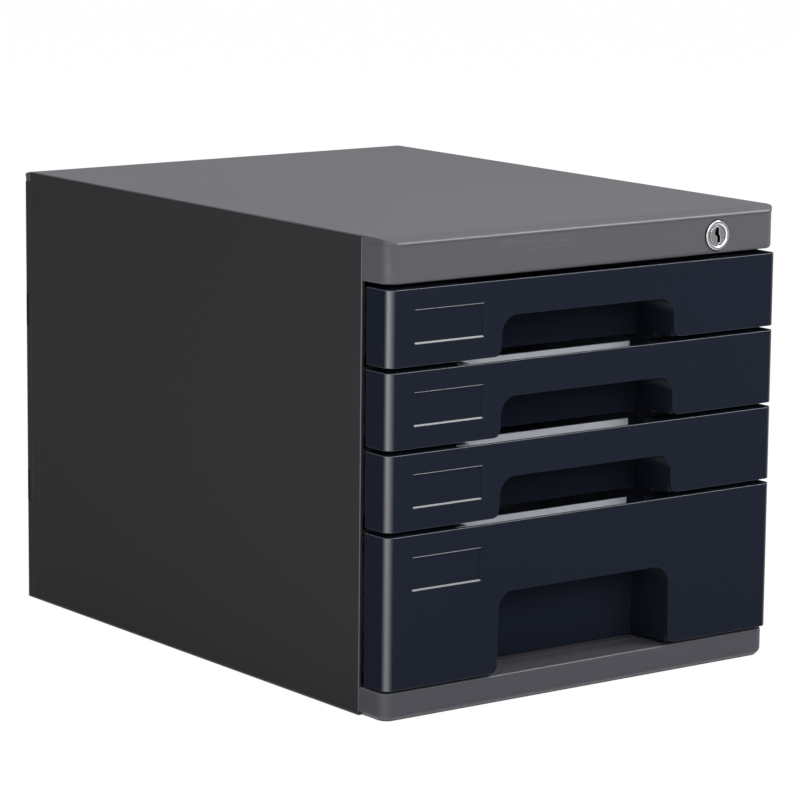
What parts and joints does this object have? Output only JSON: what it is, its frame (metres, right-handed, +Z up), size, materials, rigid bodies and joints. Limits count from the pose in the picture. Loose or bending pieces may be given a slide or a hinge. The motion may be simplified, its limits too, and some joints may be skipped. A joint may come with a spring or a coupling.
{
  "type": "desktop file drawer",
  "caption": "Desktop file drawer cabinet: shallow drawers over a deep one, finger-pull handles, label recesses and a lock that holds all drawers.",
  "frame": {"origin": "centre of the footprint, on the surface that the feet stand on", "axes": "+Z up, front faces -Y, +X to the right seen from the front"},
  "size_m": [0.3, 0.406, 0.287],
  "materials": {
    "cap": "fine grained grey",
    "shell": "fine grained dark grey",
    "base": "smooth mid grey",
    "front": "gloss navy",
    "tray": "smooth light grey",
    "feet": "matt black",
    "lock": "polished",
    "fixings": "zinc plated"
  },
  "bodies": {
    "cabinet": {"top_cover": "cap", "left_side_panel": "shell", "right_side_panel": "shell", "back_panel": "shell", "base_lip": "base", "base_plate": "base", "foot_front_left": "feet", "foot_front_right": "feet", "foot_rear_left": "feet", "foot_rear_right": "feet", "base_screw_front_left": "fixings", "base_screw_front_right": "fixings", "base_screw_rear_left": "fixings", "base_screw_rear_right": "fixings", "lock_housing": "lock", "lock_nut": "fixings"},
    "lock_cylinder": {"lock_plug": "lock", "lock_cam": "fixings", "lock_cam_screw": "fixings"},
    "locking_bar": {"lock_bar": "fixings"},
    "drawer_1": {"drawer_front_1": "front", "drawer_tray_1": "tray"},
    "drawer_2": {"drawer_front_2": "front", "drawer_tray_2": "tray"},
    "drawer_3": {"drawer_front_3": "front", "drawer_tray_3": "tray"},
    "drawer_4": {"drawer_front_4": "front", "drawer_tray_4": "tray"}
  },
  "joints": [
    {"name": "lock_turn", "type": "hinge", "parent": "cabinet", "child": "lock_cylinder", "pos_m": [0.1006, -0.19, 0.2717], "axis": [0, -1, 0], "range_deg": [0, 90]},
    {"name": "lock_bar_lift", "type": "slide", "parent": "cabinet", "child": "locking_bar", "axis": [0, 0, 1], "range_m": [0, 0.01202]},
    {"name": "drawer_1_slide", "type": "slide", "parent": "cabinet", "child": "drawer_1", "axis": [0, -1, 0], "range_m": [0, 0.255]},
    {"name": "drawer_2_slide", "type": "slide", "parent": "cabinet", "child": "drawer_2", "axis": [0, -1, 0], "range_m": [0, 0.255]},
    {"name": "drawer_3_slide", "type": "slide", "parent": "cabinet", "child": "drawer_3", "axis": [0, -1, 0], "range_m": [0, 0.255]},
    {"name": "drawer_4_slide", "type": "slide", "parent": "cabinet", "child": "drawer_4", "axis": [0, -1, 0], "range_m": [0, 0.255]}
  ],
  "couplings": [
    {"joint": "lock_turn", "follows": "lock_bar_lift", "rad_per_m": 130.67}
  ]
}
